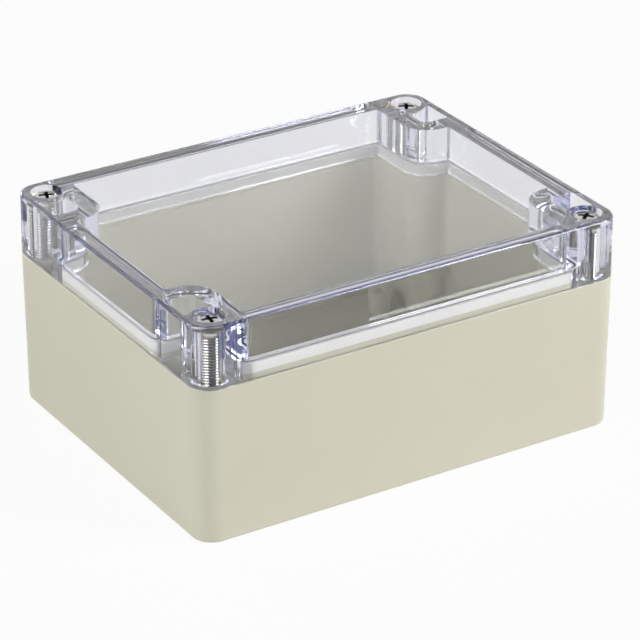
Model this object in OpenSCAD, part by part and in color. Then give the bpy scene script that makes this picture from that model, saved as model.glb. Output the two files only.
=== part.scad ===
// Sealed plastic enclosure: moulded base, clear lid, seal, lid screws and thread inserts.
// Millimetres. +Z is up, X runs along the length, and the origin is the middle of the underside.

/* [Box] */
// Outside length, measured at the seam
box_length = 115; // [90:1:200]
// Outside width, measured at the seam
box_width = 90; // [75:1:160]
// Height of the base, from the underside to the seam
base_height = 39.3; // [28:0.1:80]
// Height of the lid above the seam
lid_height = 15.7; // [13:0.1:40]
// Radius of the upright corners at the seam
corner_radius = 5.5; // [4:0.1:6]
// How far each side of the base leans in between the seam and the underside
base_draft = 0.35; // [0.1:0.05:0.8]
// How far each side of the lid leans in between the seam and the top
lid_draft = 0.18; // [0.05:0.01:0.4]
// Rounding of the base's bottom edge
bottom_rounding = 0.8; // [0.3:0.1:1.5]
// Rounding of the lid's top edge
top_rounding = 0.8; // [0.3:0.1:1.5]
// Chamfer on the outer edges that meet at the seam
seam_chamfer = 0.2; // [0.1:0.05:0.4]

/* [Walls] */
// Thickness of the lid's walls that carry the seal: its sides and the inner walls of its bosses
wall = 4.8; // [4.6:0.1:5.2]
// How far the lid's walls stand inside the base's walls, which are thinner by as much
overhang = 1.2; // [0.8:0.05:1.2]
// Thickness of the side walls outside the seal, beside the pockets in the bosses
pocket_wall = 1.9; // [1.6:0.1:2.6]
// Thickness of the base's floor
floor_thickness = 3; // [2:0.1:5]
// Thickness of the lid's top plate
lid_plate = 1.5; // [1.2:0.1:3]
// Plan radius where a boss wall meets a side wall, inside the box
cavity_rounding = 1; // [0.6:0.1:2]
// Rounding between the top plate and the walls, inside the lid
ceiling_rounding = 0.3; // [0.1:0.1:0.5]

/* [Corner bosses] */
// From the end face to the cavity side of the boss wall, along the length
boss_length = 13.9; // [13.4:0.1:17]
// From the side face to the cavity side of the boss wall, along the width
boss_width = 23.3; // [21:0.1:28]
// Plan radius of the boss's inner corner, on the cavity side
boss_rounding = 7; // [6:0.1:8]
// From each outside face to a lid screw's axis
screw_inset = 6.25; // [6.15:0.05:7]
// Radius of the solid column round a lid screw
column_radius = 5; // [4.8:0.1:5.2]

/* [Seal] */
// From the cavity side of the wall to the seal groove
groove_inset = 1.2; // [1.2:0.05:1.4]
// Width of the seal groove in the lid
groove_width = 2.3; // [1.8:0.05:2.4]
// Height of the base's tongue above the seam
tongue_height = 1.5; // [1:0.1:2.5]
// Gap on each side between the tongue and the groove
tongue_clearance = 0.15; // [0.1:0.01:0.2]
// Height of the seal, between the tongue and the groove's rib
gasket_height = 2.5; // [1.5:0.1:3.5]
// Gap on each side between the seal and the groove
gasket_clearance = 0.05; // [0.02:0.01:0.1]
// Height of the rib along the groove's end, which presses on the seal
rib_height = 0.9; // [0.4:0.1:1.2]
// Width of the rib
rib_width = 0.6; // [0.4:0.05:0.9]

/* [Lid screws] */
// Outside diameter of the screw's thread
screw_diameter = 4; // [3:0.5:4]
// Length of thread that reaches below the seam
thread_engagement = 6.55; // [5:0.05:12]
// Diameter of the screw's head
head_diameter = 6.9; // [6:0.1:7.2]
// Height of the screw's head, from its seat to the top of its crown
head_height = 1.5; // [1:0.1:3]
// Rise of the head's crown above its rim
crown_height = 0.5; // [0.2:0.1:0.8]
// Depth of the crown below the lid's top
head_depth = 0.75; // [0.5:0.05:2]
// Gap on each side between the head and its counterbore
head_clearance = 0.45; // [0.3:0.05:0.6]
// Gap on each side between the thread and a plain hole round it
screw_clearance = 0.25; // [0.2:0.05:0.4]
// Width across the wings of the cross recess
recess_width = 3.8; // [3:0.1:4.6]
// Depth of the cross recess
recess_depth = 1.9; // [1.2:0.1:2]

/* [Thread inserts] */
// Outside diameter of the insert
insert_diameter = 5.8; // [5.6:0.1:6.4]
// Length of the insert
insert_length = 9; // [6:0.5:12]
// Depth of the insert's top below the seam
insert_depth = 0.2; // [0.1:0.1:1]
// Gap on each side between the insert and its hole
insert_clearance = 0.05; // [0.02:0.01:0.1]
// Gap on each side between the thread and the insert
thread_clearance = 0.1; // [0.05:0.01:0.15]
// Depth of the hole below the screw's tip and the insert
tip_room = 3; // [1:0.5:6]

/* [Board supports] */
// Outside diameter of a board support
support_diameter = 6; // [5:0.1:8]
// Height of a board support above the floor
support_height = 5.5; // [3:0.5:12]
// Diameter of the pilot hole in a board support
pilot_diameter = 2.5; // [2:0.1:3]
// From the base's boss wall to the side of a board support
support_gap = 3.8; // [1:0.1:10]
// From the base's long wall to a board support's axis
support_inset = 9.9; // [6:0.1:16]

/* [Wall mounting] */
// Diameter of the mounting hole at the bottom of each well
mount_diameter = 4.5; // [3.5:0.1:5]
// Thickness under a mounting screw's head, at the bottom of each well
well_floor = 4; // [2.5:0.1:8]

/* [Hidden] */
$fn = 64;

// The corners, as directions along X and Y
front_left = [-1, -1];
front_right = [1, -1];
back_left = [-1, 1];
back_right = [1, 1];
corners = [front_left, front_right, back_left, back_right];

half_length = box_length / 2;
half_width = box_width / 2;
seam_z = base_height;
top_z = base_height + lid_height;

// The pocket inside each boss wall, measured from the outside faces. It ends beside the column,
// where the column's side has turned through half a right angle.
pocket_length = boss_length - wall;
pocket_width = boss_width - wall;
pocket_end = screw_inset + column_radius * cos(45);
pocket_rounding = boss_rounding - wall;

// The seal's lines, measured outwards from the cavity's sides
groove_outer = groove_inset + groove_width;
groove_height = tongue_height + gasket_height + rib_height;

// Lid screws, from the head down
head_seat_z = top_z - head_depth - head_height;
screw_tip_z = seam_z - thread_engagement;
screw_length = head_seat_z - screw_tip_z;
screw_hole_diameter = screw_diameter + 2 * screw_clearance;
counterbore_diameter = head_diameter + 2 * head_clearance;
tip_chamfer = screw_diameter / 8;
wing_width = recess_width / 4;

// Thread inserts, and the holes that hold them
insert_bottom_z = seam_z - insert_depth - insert_length;
insert_hole_diameter = insert_diameter + 2 * insert_clearance;
thread_bore_diameter = screw_diameter + 2 * thread_clearance;
knurl_groove_depth = (insert_diameter - thread_bore_diameter) / 6;
knurl_groove_height = insert_length / 9;
tip_hole_z = min(screw_tip_z, insert_bottom_z) - tip_room;

// Board supports and mounting holes, measured from the middle of the box
support_x = half_length - boss_length + overhang - support_gap - support_diameter / 2;
support_y = half_width - wall + overhang - support_inset;
pilot_bottom_z = floor_thickness / 2;
mount_x = half_length - (pocket_wall + pocket_length) / 2;
mount_y = half_width - (screw_inset + column_radius + pocket_width) / 2;

// Cuts run this far past the faces that they open
past = 1;

grey_plastic = "#cfcdbb";
clear_plastic = [0.80, 0.82, 0.92, 0.35];
white_rubber = "#e8e8e4";
bright_steel = "#dcd9cc";
brass = "#c9a650";

// Puts its children, drawn for the back right corner, into another corner
module at_corner(corner) {
    mirror([corner.x < 0 ? 1 : 0, 0, 0]) mirror([0, corner.y < 0 ? 1 : 0, 0]) children();
}

module at_each_corner() {
    for (corner = corners) at_corner(corner) children();
}

// Puts its children on the axis of a corner's lid screw
module at_screw(corner) {
    at_corner(corner) translate([half_length - screw_inset, half_width - screw_inset]) children();
}

// What a rounded inner corner leaves of a square: the part outside the arc
module corner_fill(radius) {
    difference() {
        square(radius);
        translate([radius, radius]) circle(radius);
    }
}

module rounded_rectangle(half_x, half_y, radius) {
    difference() {
        square([2 * half_x, 2 * half_y], center = true);
        at_each_corner() translate([half_x, half_y]) rotate(180) corner_fill(radius);
    }
}

// The lid's cavity in plan, inside the walls and round the bosses, grown evenly into the walls
module cavity_outline(grow = 0) {
    inner_x = half_length - wall + grow;
    inner_y = half_width - wall + grow;
    boss_x = half_length - boss_length + grow;
    boss_y = half_width - boss_width + grow;
    rounded_rectangle(inner_x, boss_y, cavity_rounding + grow);
    rounded_rectangle(boss_x, inner_y, cavity_rounding + grow);
    at_each_corner() translate([boss_x, boss_y]) corner_fill(boss_rounding - grow);
}

// The lid's cavity as a solid of a given height, the edge round its top rounded. A core reaches into a
// strip that follows the walls and bosses, and the strip's pieces meet end to end.
module cavity(height, rounding) {
    boss_x = half_length - boss_length;
    boss_y = half_width - boss_width;
    core_x = half_length - wall - cavity_rounding;
    core_y = half_width - wall - cavity_rounding;
    neck_x = boss_x - cavity_rounding;
    neck_y = boss_y - cavity_rounding;
    linear_extrude(height) cavity_outline(-(cavity_rounding + rounding) / 2);
    for (corner = [front_left, back_right]) at_corner(corner) {
        translate([-neck_x, core_y, 0]) along_length(2 * neck_x) strip_profile(height, rounding);
        translate([core_x, neck_y, 0]) along_width(2 * neck_y) strip_profile(height, rounding);
    }
    at_each_corner() {
        translate([boss_x + boss_rounding, neck_y, 0]) along_length(core_x - boss_x - boss_rounding)
            strip_profile(height, rounding);
        translate([neck_x, core_y, 0]) along_width(core_y - boss_y - boss_rounding)
            strip_profile(height, rounding);
        for (place = [[core_x, neck_y], [neck_x, core_y]]) translate(place)
            rotate_extrude(angle = 90) strip_profile(height, rounding);
        translate([boss_x + boss_rounding, boss_y + boss_rounding]) rotate(180)
            rotate_extrude(angle = 90) translate([boss_rounding + cavity_rounding, 0])
                mirror([1, 0]) strip_profile(height, rounding);
    }
}

// Section of the cavity's strip: X from the core to the wall, Y up to the rounded edge
module strip_profile(height, rounding) {
    difference() {
        square([cavity_rounding, height]);
        translate([cavity_rounding, height]) rotate(180) corner_fill(rounding);
    }
}

// A ring along the seal's path, between two lines measured outwards from the cavity's sides
module seal_ring(height, inner, outer) {
    difference() {
        linear_extrude(height) cavity_outline(outer);
        translate([0, 0, -past]) linear_extrude(height + 2 * past) cavity_outline(inner);
    }
}

// The groove that the seal lies in, with a rib along the middle of its end
module seal_groove() {
    middle = groove_inset + groove_width / 2;
    difference() {
        translate([0, 0, -past]) seal_ring(groove_height + past, groove_inset, groove_outer);
        translate([0, 0, groove_height - rib_height])
            seal_ring(rib_height + past, middle - rib_width / 2, middle + rib_width / 2);
    }
}

// The hollow beside the screw column in plan, outside the seal, at the back right corner
module pocket_outline() {
    difference() {
        translate([half_length - pocket_length, half_width - pocket_width]) difference() {
            square([pocket_length - pocket_wall, pocket_width - pocket_end]);
            corner_fill(pocket_rounding);
        }
        at_screw(back_right) circle(column_radius);
    }
}

// Side profile outwards from a corner's axis: rounded edge at the bottom, seam at the top
module side_profile(height, draft, rounding) {
    lean = draft / height;
    slant = sqrt(1 + lean * lean);
    arc_x = corner_radius - draft + rounding * (lean - slant);
    polygon([
        [0, 0],
        [arc_x, 0],
        [arc_x, rounding],
        [arc_x + rounding / slant, rounding * (1 - lean / slant)],
        [corner_radius - lean * seam_chamfer, height - seam_chamfer],
        [corner_radius - seam_chamfer, height],
        [0, height]
    ]);
    translate([arc_x, rounding]) circle(rounding);
}

// Runs a profile, drawn outwards and up, along the box's length towards +X
module along_length(length) {
    rotate([90, 0, 90]) linear_extrude(length) children();
}

// Runs a profile, drawn outwards and up, along the box's width towards -Y
module along_width(length) {
    rotate([90, 0, 0]) linear_extrude(length) children();
}

// A solid block with a side profile run round its four sides and corners
module profiled_block(height) {
    core_x = half_length - corner_radius;
    core_y = half_width - corner_radius;
    translate([-core_x, -core_y, 0]) cube([2 * core_x, 2 * core_y, height]);
    at_each_corner() translate([core_x, core_y, 0]) rotate_extrude(angle = 90) children();
    for (corner = [front_left, back_right]) at_corner(corner) {
        translate([-core_x, core_y, 0]) along_length(2 * core_x) children();
        translate([core_x, core_y, 0]) along_width(2 * core_y) children();
    }
}

module base_block() {
    profiled_block(base_height) side_profile(base_height, base_draft, bottom_rounding);
}

module lid_block() {
    translate([0, 0, lid_height]) mirror([0, 0, 1])
        profiled_block(lid_height) side_profile(lid_height, lid_draft, top_rounding);
}

module board_supports() {
    at_each_corner() translate([support_x, support_y, floor_thickness - past])
        cylinder(h = support_height + past, d = support_diameter);
}

module base() {
    color(grey_plastic) difference() {
        union() {
            difference() {
                base_block();
                translate([0, 0, floor_thickness]) linear_extrude(base_height) cavity_outline(overhang);
            }
            translate([0, 0, seam_z - past]) seal_ring(
                tongue_height + past, groove_inset + tongue_clearance, groove_outer - tongue_clearance);
            board_supports();
        }
        at_each_corner() {
            translate([0, 0, well_floor]) linear_extrude(base_height) pocket_outline();
            translate([mount_x, mount_y, -past]) cylinder(h = well_floor + 2 * past, d = mount_diameter);
            translate([support_x, support_y, pilot_bottom_z])
                cylinder(h = floor_thickness + support_height, d = pilot_diameter);
        }
        for (corner = corners) at_screw(corner) {
            translate([0, 0, insert_bottom_z])
                cylinder(h = seam_z - insert_bottom_z + past, d = insert_hole_diameter);
            translate([0, 0, tip_hole_z])
                cylinder(h = seam_z - tip_hole_z, d = screw_hole_diameter);
        }
    }
}

module lid() {
    ceiling = lid_height - lid_plate;
    color(clear_plastic) translate([0, 0, seam_z]) difference() {
        lid_block();
        translate([0, 0, -past]) cavity(ceiling + past, ceiling_rounding);
        seal_groove();
        // The lip inside the groove ends level with the tongue's top
        translate([0, 0, -past]) linear_extrude(tongue_height + past)
            cavity_outline(groove_inset + tongue_clearance);
        at_each_corner() translate([0, 0, -past]) linear_extrude(ceiling + past) pocket_outline();
        for (corner = corners) at_screw(corner) {
            translate([0, 0, -past]) cylinder(h = lid_height + 2 * past, d = screw_hole_diameter);
            translate([0, 0, head_seat_z - seam_z])
                cylinder(h = lid_height, d = counterbore_diameter);
        }
    }
}

module gasket() {
    color(white_rubber) translate([0, 0, seam_z + tongue_height]) seal_ring(
        gasket_height, groove_inset + gasket_clearance, groove_outer - gasket_clearance);
}

// The recess for a cross-point driver, its wings narrowing to a point
module cross_recess() {
    intersection() {
        union() for (turn = [0, 90]) rotate(turn)
            translate([-recess_width / 2, -wing_width / 2, -recess_depth])
                cube([recess_width, wing_width, recess_depth + past]);
        translate([0, 0, -recess_depth])
            cylinder(h = recess_depth + past, r1 = wing_width / 2, r2 = recess_width / 2 + past);
    }
}

// A low cylindrical head with a domed crown
module screw_head() {
    head_radius = head_diameter / 2;
    crown_radius = (head_radius * head_radius + crown_height * crown_height) / (2 * crown_height);
    difference() {
        rotate_extrude() intersection() {
            square([head_radius, head_height]);
            translate([0, head_height - crown_radius]) circle(crown_radius);
        }
        translate([0, 0, head_height]) cross_recess();
    }
}

module lid_screw(corner) {
    shank_radius = screw_diameter / 2;
    color(bright_steel) at_screw(corner) {
        translate([0, 0, head_seat_z]) screw_head();
        translate([0, 0, screw_tip_z + tip_chamfer])
            cylinder(h = screw_length - tip_chamfer, r = shank_radius);
        translate([0, 0, screw_tip_z])
            cylinder(h = tip_chamfer, r1 = shank_radius - tip_chamfer, r2 = shank_radius);
    }
}

module thread_insert(corner) {
    color(brass) at_screw(corner) translate([0, 0, insert_bottom_z]) difference() {
        cylinder(h = insert_length, d = insert_diameter);
        translate([0, 0, -past]) cylinder(h = insert_length + 2 * past, d = thread_bore_diameter);
        for (level = [1 / 3, 2 / 3]) translate([0, 0, insert_length * level - knurl_groove_height / 2])
            difference() {
                cylinder(h = knurl_groove_height, d = insert_diameter + past);
                cylinder(h = knurl_groove_height, d = insert_diameter - 2 * knurl_groove_depth);
            }
    }
}

base();
lid();
gasket();
lid_screw(front_left);  // lid_screw_front_left
lid_screw(front_right);  // lid_screw_front_right
lid_screw(back_left);  // lid_screw_back_left
lid_screw(back_right);  // lid_screw_back_right
thread_insert(front_left);  // thread_insert_front_left
thread_insert(front_right);  // thread_insert_front_right
thread_insert(back_left);  // thread_insert_back_left
thread_insert(back_right);  // thread_insert_back_right
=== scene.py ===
import math

import bmesh
import bpy
from mathutils import Matrix, Vector


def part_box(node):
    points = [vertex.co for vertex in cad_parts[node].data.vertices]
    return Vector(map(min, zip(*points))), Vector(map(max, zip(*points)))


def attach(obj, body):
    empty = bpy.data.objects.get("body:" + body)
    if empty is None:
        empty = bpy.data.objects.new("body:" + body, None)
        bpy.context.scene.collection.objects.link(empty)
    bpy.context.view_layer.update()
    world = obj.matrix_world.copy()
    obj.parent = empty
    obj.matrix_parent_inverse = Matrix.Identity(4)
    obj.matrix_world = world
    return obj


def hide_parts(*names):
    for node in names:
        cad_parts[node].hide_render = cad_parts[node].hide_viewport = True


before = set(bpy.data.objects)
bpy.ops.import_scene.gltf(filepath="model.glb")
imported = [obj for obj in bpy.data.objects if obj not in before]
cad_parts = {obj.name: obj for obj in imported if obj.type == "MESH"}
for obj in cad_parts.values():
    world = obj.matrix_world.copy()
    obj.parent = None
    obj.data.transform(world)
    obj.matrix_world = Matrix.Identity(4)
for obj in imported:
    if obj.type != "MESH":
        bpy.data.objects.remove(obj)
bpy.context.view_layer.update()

bl_info = {
    "name": "Enclosure with clear lid",
    "version": (1, 0, 0),
    "blender": (4, 5, 0),
    "location": "View3D > Sidebar > Enclosure",
    "description": "Finishes of a sealed box with a clear lid, its threaded screws and a plain studio",
    "category": "Object",
}

MM = 0.001
CORNERS = ("front_left", "front_right", "back_left", "back_right")

# Points of a node's mesh, and of a thread, that are closer than this are one point
WELD = 0.0001 * MM
THREAD_WELD = 0.001 * MM
# Heights closer than this are level
LEVEL = 0.001 * MM
# Edges of a screw that turn by more than this stay sharp
SHARP = math.radians(35)
# How far the lid's lower face is pressed into the base
PRESS = 0.02 * MM

# Depth of a metric thread in pitches
THREAD_DEPTH = 0.6134
# One pitch of the thread, as shares of the pitch and of the depth: root, flank, crest, flank, root
THREAD_LINE = ((0, 0), (1 / 8, 0), (7 / 16, 1), (9 / 16, 1), (7 / 8, 0), (1, 0))
# Where the head is cut from its plain shank, and where the new shank starts, below the head's seat
HEAD_CUT = 0.1 * MM
SHANK_START = 0.3 * MM
# The cross recess: radius of its middle, and how far that goes below the seat
RECESS_MIDDLE = 0.8 * MM
RECESS_BELOW = 0.6 * MM
# How far the recess's faces lie above the seat outside its middle, and below the crown, at least
ABOVE_SEAT = 0.01 * MM
BELOW_CROWN = 0.03 * MM
# Fall of the head's crown with the square of the radius
CROWN_FALL = 0.042 / MM

# Name, place and side in metres, and watts of each soft box
LAMPS = (
    ("key", (0.8, -0.75, 0.5), 0.6, 11),
    ("fill", (-1.4, -0.25, 0.52), 0.9, 11.6),
    ("back", (-0.2, 1.4, 0.25), 0.5, 8),
)
FLOOR_RADIUS = 4


def linear(hex_colour):
    """Turns an sRGB hex colour into linear red, green and blue."""
    shares = [int(hex_colour[place:place + 2], 16) / 255 for place in (1, 3, 5)]
    return tuple(s / 12.92 if s <= 0.04045 else ((s + 0.055) / 1.055) ** 2.4 for s in shares)


class FinishSettings(bpy.types.PropertyGroup):
    """Colours of the finishes."""

    grey_plastic: bpy.props.FloatVectorProperty(
        name="Grey plastic", description="Colour of the moulded base",
        subtype="COLOR", min=0, max=1, default=linear("#d2d0bc"))
    clear_tint: bpy.props.FloatVectorProperty(
        name="Clear plastic tint", description="Colour that a long path through the lid takes on",
        subtype="COLOR", min=0, max=1, default=linear("#6378d8"))
    seal_white: bpy.props.FloatVectorProperty(
        name="Seal white", description="Colour of the rubber seal",
        subtype="COLOR", min=0, max=1, default=linear("#f2f2ee"))
    plated_steel: bpy.props.FloatVectorProperty(
        name="Plated steel", description="Colour of the lid screws",
        subtype="COLOR", min=0, max=1, default=linear("#dad7cc"))
    # Painted shade: this dark colour is painted into the screws' cross recesses and thread grooves, where
    # shade falls
    painted_recess_shade: bpy.props.FloatVectorProperty(
        name="Recess shade", description="Colour in a lid screw's cross recess and thread grooves",
        subtype="COLOR", min=0, max=1, default=linear("#2a2824"))
    brass: bpy.props.FloatVectorProperty(
        name="Brass", description="Colour of the thread inserts",
        subtype="COLOR", min=0, max=1, default=linear("#c9a650"))


class ScrewSettings(bpy.types.PropertyGroup):
    """Sizes of the lid screws."""

    pitch: bpy.props.FloatProperty(
        name="Thread pitch", description="Rise of the thread in one turn",
        default=0.7 * MM, min=0.2 * MM, unit="LENGTH", precision=5)
    crest: bpy.props.FloatProperty(
        name="Thread radius", description="Radius of the thread's crest",
        default=1.95 * MM, min=0.5 * MM, unit="LENGTH", precision=5)
    neck: bpy.props.FloatProperty(
        name="Neck", description="Length of plain shank between the head and the thread",
        default=1.4 * MM, min=0, unit="LENGTH", precision=5)
    head: bpy.props.FloatProperty(
        name="Head height", description="From the head's seat to the top of its crown",
        default=1.5 * MM, min=0.5 * MM, unit="LENGTH", precision=5)
    recess: bpy.props.FloatProperty(
        name="Recess width", description="Width across the wings of the cross recess",
        default=3.8 * MM, min=1 * MM, unit="LENGTH", precision=5)
    chamfer: bpy.props.FloatProperty(
        name="Tip chamfer", description="Depth of the chamfer at the thread's tip",
        default=0.5 * MM, min=0, unit="LENGTH", precision=5)
    steps: bpy.props.IntProperty(
        name="Steps", description="Straight steps in one turn of the thread", default=32, min=8)
    turns: bpy.props.FloatVectorProperty(
        name="Turns", description="How far each screw's recess is turned, in the order of the corners",
        size=4, unit="ROTATION", default=[math.radians(angle) for angle in (-10, 40, -20, -30)])


class StageSettings(bpy.types.PropertyGroup):
    """Camera and light."""

    azimuth: bpy.props.FloatProperty(
        name="Azimuth", description="Turn of the camera round the box",
        default=math.radians(-31.805), subtype="ANGLE")
    elevation: bpy.props.FloatProperty(
        name="Elevation", description="Height of the camera above the horizon",
        default=math.radians(26.696), subtype="ANGLE")
    distance: bpy.props.FloatProperty(
        name="Distance", description="From the camera to the point it aims at",
        default=0.8065, min=0.1, unit="LENGTH")
    aim: bpy.props.FloatVectorProperty(
        name="Aim", description="Point that the camera looks at",
        default=(0.0003, -0.0020, 0.0244), subtype="XYZ", unit="LENGTH")
    lens: bpy.props.FloatProperty(
        name="Lens", description="Focal length of the camera", default=188.33, min=10, unit="CAMERA")
    ceiling: bpy.props.FloatVectorProperty(
        name="Ceiling", description="Colour overhead in the room that plastic and metal show",
        subtype="COLOR", min=0, max=1, default=linear("#c8caf2"))
    dark_side: bpy.props.FloatVectorProperty(
        name="Dark side", description="Colour behind the camera in the room that plastic and metal show",
        subtype="COLOR", min=0, max=1, default=linear("#404a66"))


def add_node(tree, kind, values=None, links=None, **settings):
    """Adds a node with its settings, socket values and links."""
    node = tree.nodes.new(kind)
    for name, value in settings.items():
        setattr(node, name, value)
    for socket, value in (values or {}).items():
        node.inputs[socket].default_value = value
    for socket, source in (links or {}).items():
        tree.links.new(source, node.inputs[socket])
    return node


def empty_material(name):
    """A material with no nodes, or the one of that name emptied."""
    material = bpy.data.materials.get(name) or bpy.data.materials.new(name)
    material.use_nodes = True
    material.node_tree.nodes.clear()
    return material, material.node_tree


def noise(tree, size_mm, detail):
    """Noise with features of about that many millimetres, in the piece's own axes."""
    place = add_node(tree, "ShaderNodeTexCoord").outputs["Object"]
    return add_node(tree, "ShaderNodeTexNoise", {"Scale": 1 / (size_mm * MM), "Detail": detail},
                    {"Vector": place}).outputs["Fac"]


def uneven(tree, colour, darkest, factor):
    """A colour that a texture darkens, at most to that share."""
    dark = tuple(darkest * part for part in colour)
    return add_node(tree, "ShaderNodeMix", {"A": (*dark, 1), "B": (*colour, 1)}, {"Factor": factor},
                    data_type="RGBA").outputs["Result"]


def moulded_grey_plastic(finish):
    """ABS, injection moulded in a finely eroded tool: an even satin with a soft bloom of light."""
    material, tree = empty_material("moulded_grey_abs")
    grain = noise(tree, size_mm=0.5, detail=3.0)
    flow = noise(tree, size_mm=18, detail=2.0)
    colour = uneven(tree, finish.grey_plastic, darkest=0.965, factor=flow)
    roughness = add_node(tree, "ShaderNodeMapRange", {"To Min": 0.42, "To Max": 0.54}, {"Value": grain})
    bump = add_node(tree, "ShaderNodeBump", {"Strength": 0.12, "Distance": 0.02 * MM}, {"Height": grain})
    shader = add_node(
        tree, "ShaderNodeBsdfPrincipled", {"IOR": 1.53},
        {"Base Color": colour, "Roughness": roughness.outputs["Result"],
         "Normal": bump.outputs["Normal"]})
    add_node(tree, "ShaderNodeOutputMaterial", links={"Surface": shader.outputs["BSDF"]})
    return material


def clear_polycarbonate(finish):
    """Polycarbonate, moulded clear in a polished tool: glassy, with a cool tint along its edges."""
    material, tree = empty_material("clear_polycarbonate")
    haze = noise(tree, size_mm=9, detail=3.0)
    roughness = add_node(tree, "ShaderNodeMapRange", {"To Min": 0.0, "To Max": 0.03}, {"Value": haze})
    shader = add_node(
        tree, "ShaderNodeBsdfPrincipled",
        {"Base Color": (1, 1, 1, 1), "IOR": 1.585, "Transmission Weight": 1.0},
        {"Roughness": roughness.outputs["Result"]})
    absorption = add_node(
        tree, "ShaderNodeVolumeAbsorption", {"Color": (*finish.clear_tint, 1), "Density": 16.0})
    add_node(tree, "ShaderNodeOutputMaterial",
             links={"Surface": shader.outputs["BSDF"], "Volume": absorption.outputs["Volume"]})
    return material


def white_rubber(finish):
    """Silicone rubber, moulded: matt white with a faint powdery grain."""
    material, tree = empty_material("white_silicone_rubber")
    grain = noise(tree, size_mm=0.4, detail=2.0)
    colour = uneven(tree, finish.seal_white, darkest=0.94, factor=grain)
    bump = add_node(tree, "ShaderNodeBump", {"Strength": 0.2, "Distance": 0.02 * MM}, {"Height": grain})
    shader = add_node(
        tree, "ShaderNodeBsdfPrincipled", {"IOR": 1.41, "Roughness": 0.65},
        {"Base Color": colour, "Normal": bump.outputs["Normal"]})
    add_node(tree, "ShaderNodeOutputMaterial", links={"Surface": shader.outputs["BSDF"]})
    return material


def metal(name, colour, hollow, roughest, smoothest):
    """A turned or rolled metal: bright, with a slightly uneven polish, and painted shade where a mesh
    marks hollows.
    """
    material, tree = empty_material(name)
    wear = noise(tree, size_mm=0.6, detail=3.0)
    shade = uneven(tree, colour, darkest=0.88, factor=wear)
    # Painted shade: the mesh's attribute mixes in a dark colour where shade falls in the recess and thread
    # grooves
    depth = add_node(tree, "ShaderNodeAttribute", attribute_name="hollow").outputs["Fac"]
    shade = add_node(tree, "ShaderNodeMix", {"B": (*hollow, 1)},
                     {"Factor": depth, "A": shade}, data_type="RGBA")
    roughness = add_node(tree, "ShaderNodeMapRange", {"To Min": smoothest, "To Max": roughest},
                         {"Value": wear})
    shader = add_node(
        tree, "ShaderNodeBsdfPrincipled", {"Metallic": 1.0},
        {"Base Color": shade.outputs["Result"], "Roughness": roughness.outputs["Result"]})
    add_node(tree, "ShaderNodeOutputMaterial", links={"Surface": shader.outputs["BSDF"]})
    return material


def finish_node(name, material):
    """Gives a CAD node its finish."""
    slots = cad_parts[name].data.materials
    slots.clear()
    slots.append(material)


class ENCLOSURE_OT_base(bpy.types.Operator):
    """Finish the moulded base"""

    bl_idname = "enclosure.base"
    bl_label = "Base"

    def execute(self, context):
        finish_node("base", moulded_grey_plastic(context.scene.enclosure_finish))
        return {"FINISHED"}


def merged_copy(name):
    """A copy of a CAD node's mesh with its loose triangles joined, and its normals as an attribute."""
    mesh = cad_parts[name].data.copy()
    normals = mesh.attributes.new("node_normal", "FLOAT_VECTOR", "CORNER")
    normals.data.foreach_set("vector", [part for corner in mesh.corner_normals for part in corner.vector])
    shape = bmesh.new()
    shape.from_mesh(mesh)
    bpy.data.meshes.remove(mesh)
    bmesh.ops.remove_doubles(shape, verts=shape.verts, dist=WELD)
    return shape


def add_piece(name, shape, materials, body, node):
    """Turns a mesh into a piece that stands for a CAD node."""
    mesh = bpy.data.meshes.new(name)
    shape.to_mesh(mesh)
    shape.free()
    for material in materials:
        mesh.materials.append(material)
    piece = bpy.data.objects.new(name, mesh)
    bpy.context.scene.collection.objects.link(piece)
    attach(piece, body)
    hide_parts(node)
    return mesh


class ENCLOSURE_OT_lid(bpy.types.Operator):
    """Finish the clear lid, pressed onto the base so that no air shows between their faces"""

    bl_idname = "enclosure.lid"
    bl_label = "Lid"

    def execute(self, context):
        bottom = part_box("lid")[0][2]
        shape = merged_copy("lid")
        seam = [vert for vert in shape.verts if abs(vert.co.z - bottom) < LEVEL]
        bmesh.ops.translate(shape, verts=seam, vec=(0, 0, -PRESS))
        material = clear_polycarbonate(context.scene.enclosure_finish)
        mesh = add_piece("clear_lid", shape, [material], "lid", "lid")
        normals = mesh.attributes["node_normal"]
        mesh.normals_split_custom_set([corner.vector for corner in normals.data])
        mesh.attributes.remove(normals)
        return {"FINISHED"}


class ENCLOSURE_OT_seal(bpy.types.Operator):
    """Finish the seal"""

    bl_idname = "enclosure.seal"
    bl_label = "Seal"

    def execute(self, context):
        finish_node("gasket", white_rubber(context.scene.enclosure_finish))
        return {"FINISHED"}


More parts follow.
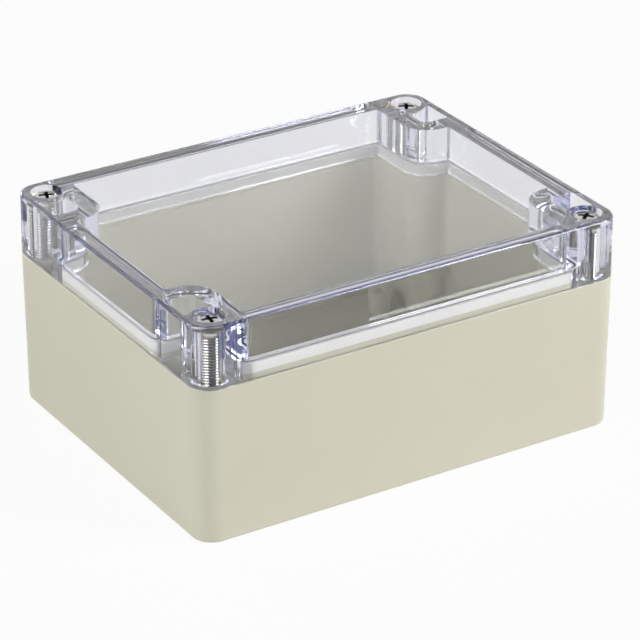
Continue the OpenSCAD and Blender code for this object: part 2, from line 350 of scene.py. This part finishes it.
def threaded_shank(screw, low, high):
    """A helical thread along Z from a chamfered tip to a plain neck, open at its top."""
    depth = THREAD_DEPTH * screw.pitch
    root = screw.crest - depth
    plain = (screw.crest + root) / 2
    turns = math.ceil((high - low) / screw.pitch) + 2
    thread = bmesh.new()
    verts = [thread.verts.new((root + share * depth, 0, low + (along - 1) * screw.pitch))
             for along, share in THREAD_LINE]
    edges = [thread.edges.new(pair) for pair in zip(verts, verts[1:])]
    bmesh.ops.spin(
        thread, geom=verts + edges, cent=(0, 0, 0), axis=(0, 0, 1), angle=turns * math.tau,
        dvec=(0, 0, screw.pitch / screw.steps), steps=turns * screw.steps, use_merge=False)
    bmesh.ops.remove_doubles(thread, verts=thread.verts, dist=THREAD_WELD)
    for height, clear_outer, clear_inner in ((low, False, True), (high, True, False)):
        bmesh.ops.bisect_plane(
            thread, geom=thread.verts[:] + thread.edges[:] + thread.faces[:], plane_co=(0, 0, height),
            plane_no=(0, 0, 1), clear_outer=clear_outer, clear_inner=clear_inner)
    for vert in thread.verts:
        reach = math.hypot(vert.co.x, vert.co.y)
        fade = min(max((vert.co.z - high + screw.neck) / screw.pitch + 1, 0), 1)
        wanted = reach + (plain - reach) * fade
        wanted = min(wanted, screw.crest - screw.chamfer + vert.co.z - low)
        vert.co.x *= wanted / reach
        vert.co.y *= wanted / reach
    tip = [edge for edge in thread.edges if edge.is_boundary and edge.verts[0].co.z < low + LEVEL]
    bmesh.ops.edgeloop_fill(thread, edges=tip)
    return thread


def in_recess(screw, place):
    """Whether a place, measured from the middle of the head's seat, lies in the cross recess."""
    reach = math.hypot(place.x, place.y)
    inside = place.z > ABOVE_SEAT or reach < RECESS_MIDDLE and place.z > -RECESS_BELOW
    crown = screw.head - CROWN_FALL * reach ** 2 - BELOW_CROWN
    return inside and reach < screw.recess / 2 and place.z < crown


def mark_hollows(shape, screw, middle, seat):
    """Marks where shade is painted, in the recess and the thread's grooves, in an attribute from 0 on a
    crest to 1 deep in a groove or the recess.
    """
    hollow = shape.loops.layers.float.new("hollow")
    for face in shape.faces:
        place = face.calc_center_median() - Vector((middle.x, middle.y, seat))
        recess = in_recess(screw, place)
        for loop in face.loops:
            reach = math.hypot(loop.vert.co.x - middle.x, loop.vert.co.y - middle.y)
            groove = (screw.crest - reach) / (THREAD_DEPTH * screw.pitch) if place.z < -screw.neck else 0
            loop[hollow] = 1 if recess else min(max(groove, 0), 1)
        face.smooth = True


class ENCLOSURE_OT_screws(bpy.types.Operator):
    """Make the lid screws, with their threads"""

    bl_idname = "enclosure.screws"
    bl_label = "Lid screws"

    def execute(self, context):
        finish = context.scene.enclosure_finish
        screw = context.scene.enclosure_screw
        # The steel gets painted shade in its cross recess and thread grooves
        steel = metal("bright_plated_steel", finish.plated_steel, finish.painted_recess_shade,
                      roughest=0.30, smoothest=0.18)
        for corner, turn in zip(CORNERS, screw.turns):
            node = "lid_screw_" + corner
            low, high = (Vector(end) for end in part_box(node))
            middle = (low + high) / 2
            seat = high.z - screw.head
            shape = merged_copy(node)
            bmesh.ops.bisect_plane(
                shape, geom=shape.verts[:] + shape.edges[:] + shape.faces[:],
                plane_co=(0, 0, seat - HEAD_CUT), plane_no=(0, 0, 1), clear_inner=True)
            bmesh.ops.rotate(shape, verts=shape.verts, cent=middle, matrix=Matrix.Rotation(turn, 3, "Z"))
            shank = threaded_shank(screw, low.z, seat - SHANK_START)
            bmesh.ops.translate(shank, verts=shank.verts, vec=(middle.x, middle.y, 0))
            part = bpy.data.meshes.new("shank")
            shank.to_mesh(part)
            shank.free()
            shape.from_mesh(part)
            bpy.data.meshes.remove(part)
            bmesh.ops.bridge_loops(shape, edges=[edge for edge in shape.edges if edge.is_boundary])
            bmesh.ops.recalc_face_normals(shape, faces=shape.faces)
            mark_hollows(shape, screw, middle, seat)
            mesh = add_piece("threaded_screw_" + corner, shape, [steel], "screw_" + corner,
                             node)
            mesh.attributes.remove(mesh.attributes["node_normal"])
            mesh.set_sharp_from_angle(angle=SHARP)
        return {"FINISHED"}


class ENCLOSURE_OT_inserts(bpy.types.Operator):
    """Finish the thread inserts"""

    bl_idname = "enclosure.inserts"
    bl_label = "Thread inserts"

    def execute(self, context):
        finish = context.scene.enclosure_finish
        brass = metal("turned_brass", finish.brass, finish.painted_recess_shade, roughest=0.35, smoothest=0.2)
        for corner in CORNERS:
            finish_node("thread_insert_" + corner, brass)
        return {"FINISHED"}


def seen_share(tree):
    """One for rays that show the studio to the eye, straight or through plastic and metal, else zero."""
    path = add_node(tree, "ShaderNodeLightPath").outputs
    seen = add_node(tree, "ShaderNodeMath", links={0: path["Is Camera Ray"], 1: path["Is Glossy Ray"]},
                    operation="MAXIMUM").outputs[0]
    seen = add_node(tree, "ShaderNodeMath", links={0: seen, 1: path["Is Transmission Ray"]},
                    operation="MAXIMUM").outputs[0]
    direct = add_node(tree, "ShaderNodeMath", {1: 0.5}, {0: path["Diffuse Depth"]},
                      operation="LESS_THAN").outputs[0]
    return add_node(tree, "ShaderNodeMath", links={0: seen, 1: direct}, operation="MULTIPLY").outputs[0]


def add_lamp(name, place, target, size, watts):
    """A square soft box that faces a point."""
    lamp = bpy.data.lights.new(name, "AREA")
    lamp.shape = "SQUARE"
    lamp.size = size
    lamp.energy = watts
    piece = bpy.data.objects.new(name, lamp)
    piece.location = place
    piece.rotation_euler = (Vector(place) - Vector(target)).to_track_quat("Z", "Y").to_euler()
    bpy.context.scene.collection.objects.link(piece)


def studio_world(stage, camera_side):
    """Soft light from all round, and a white room that plastic and metal show, dark behind the camera."""
    world = bpy.data.worlds.new("studio")
    world.use_nodes = True
    tree = world.node_tree
    tree.nodes.clear()
    way = add_node(tree, "ShaderNodeTexCoord").outputs["Generated"]
    near = add_node(tree, "ShaderNodeVectorMath", {1: camera_side}, {0: way}, operation="DOT_PRODUCT")
    near = add_node(tree, "ShaderNodeMapRange", {"From Min": 0.3, "From Max": 0.8},
                    {"Value": near.outputs["Value"]})
    height = add_node(tree, "ShaderNodeSeparateXYZ", links={"Vector": way}).outputs["Z"]
    high = add_node(tree, "ShaderNodeMapRange", {"From Min": 0.45, "From Max": 0.75}, {"Value": height})
    room = add_node(tree, "ShaderNodeMix", {"A": (1, 1, 1, 1), "B": (*stage.ceiling, 1)},
                    {"Factor": high.outputs["Result"]}, data_type="RGBA")
    room = add_node(tree, "ShaderNodeMix", {"B": (*stage.dark_side, 1)},
                    {"Factor": near.outputs["Result"], "A": room.outputs["Result"]}, data_type="RGBA")
    camera = add_node(tree, "ShaderNodeLightPath").outputs["Is Camera Ray"]
    shown = add_node(tree, "ShaderNodeMix", {"B": (1, 1, 1, 1)},
                     {"Factor": camera, "A": room.outputs["Result"]}, data_type="RGBA")
    light = add_node(tree, "ShaderNodeBackground", {"Color": (1, 1, 1, 1), "Strength": 0.2})
    seen = add_node(tree, "ShaderNodeBackground", {"Strength": 1.0}, {"Color": shown.outputs["Result"]})
    mix = add_node(tree, "ShaderNodeMixShader",
                   links={0: seen_share(tree), 1: light.outputs[0], 2: seen.outputs[0]})
    add_node(tree, "ShaderNodeOutputWorld", links={"Surface": mix.outputs[0]})
    bpy.context.scene.world = world


def studio_floor():
    """Pale paper that the camera sees as nearly white, with the box's shadow on it."""
    material, tree = empty_material("studio_floor")
    paper = add_node(tree, "ShaderNodeBsdfDiffuse", {"Color": (0.9, 0.9, 0.9, 1)})
    white = add_node(tree, "ShaderNodeEmission", {"Color": (1, 1, 1, 1), "Strength": 1.0})
    # Plastic and metal show more of the paper's own shade than the camera does
    camera = add_node(tree, "ShaderNodeLightPath").outputs["Is Camera Ray"]
    most = add_node(tree, "ShaderNodeMapRange", {"To Min": 0.52, "To Max": 0.93}, {"Value": camera})
    share = add_node(tree, "ShaderNodeMath", links={0: seen_share(tree), 1: most.outputs[0]},
                     operation="MULTIPLY")
    mix = add_node(tree, "ShaderNodeMixShader",
                   links={0: share.outputs[0], 1: paper.outputs[0], 2: white.outputs[0]})
    add_node(tree, "ShaderNodeOutputMaterial", links={"Surface": mix.outputs[0]})
    return material


class ENCLOSURE_OT_stage(bpy.types.Operator):
    """Set up the floor, the light and the camera"""

    bl_idname = "enclosure.stage"
    bl_label = "Stage"

    def execute(self, context):
        scene = context.scene
        stage = scene.enclosure_stage
        scene.view_settings.view_transform = "Standard"
        # Light reaches what lies behind the lid along many sharp turns in its walls
        scene.cycles.max_bounces = 48
        scene.cycles.transmission_bounces = 48
        scene.cycles.glossy_bounces = 24
        scene.cycles.blur_glossy = 0
        ground = bmesh.new()
        bmesh.ops.create_circle(ground, cap_ends=True, segments=96, radius=FLOOR_RADIUS)
        mesh = bpy.data.meshes.new("floor")
        ground.to_mesh(mesh)
        ground.free()
        mesh.materials.append(studio_floor())
        floor = bpy.data.objects.new("floor", mesh)
        scene.collection.objects.link(floor)
        back = Vector((math.sin(stage.azimuth) * math.cos(stage.elevation),
                       -math.cos(stage.azimuth) * math.cos(stage.elevation), math.sin(stage.elevation)))
        studio_world(stage, back)
        for name, place, size, watts in LAMPS:
            add_lamp(name, place, stage.aim, size, watts)
        camera = bpy.data.objects.new("camera", bpy.data.cameras.new("camera"))
        camera.data.lens = stage.lens
        camera.location = Vector(stage.aim) + stage.distance * back
        camera.rotation_euler = back.to_track_quat("Z", "Y").to_euler()
        scene.collection.objects.link(camera)
        scene.camera = camera
        return {"FINISHED"}


class ENCLOSURE_PT_sidebar(bpy.types.Panel):
    """Lists the enclosure's pieces"""

    bl_idname = "ENCLOSURE_PT_sidebar"
    bl_label = "Enclosure"
    bl_space_type = "VIEW_3D"
    bl_region_type = "UI"
    bl_category = "Enclosure"

    def draw(self, context):
        for operator in OPERATORS:
            self.layout.operator(operator.bl_idname)


OPERATORS = (ENCLOSURE_OT_base, ENCLOSURE_OT_lid, ENCLOSURE_OT_seal, ENCLOSURE_OT_screws,
             ENCLOSURE_OT_inserts, ENCLOSURE_OT_stage)
SETTINGS = {"enclosure_finish": FinishSettings, "enclosure_screw": ScrewSettings,
            "enclosure_stage": StageSettings}


def register():
    for kind in (*SETTINGS.values(), *OPERATORS, ENCLOSURE_PT_sidebar):
        bpy.utils.register_class(kind)
    for name, kind in SETTINGS.items():
        setattr(bpy.types.Scene, name, bpy.props.PointerProperty(type=kind))


def unregister():
    for name in SETTINGS:
        delattr(bpy.types.Scene, name)
    for kind in (ENCLOSURE_PT_sidebar, *reversed(OPERATORS), *SETTINGS.values()):
        bpy.utils.unregister_class(kind)


def main():
    register()
    for operator in OPERATORS:
        area, action = operator.bl_idname.split(".")
        getattr(getattr(bpy.ops, area), action)()


if __name__ == "__main__":
    main()
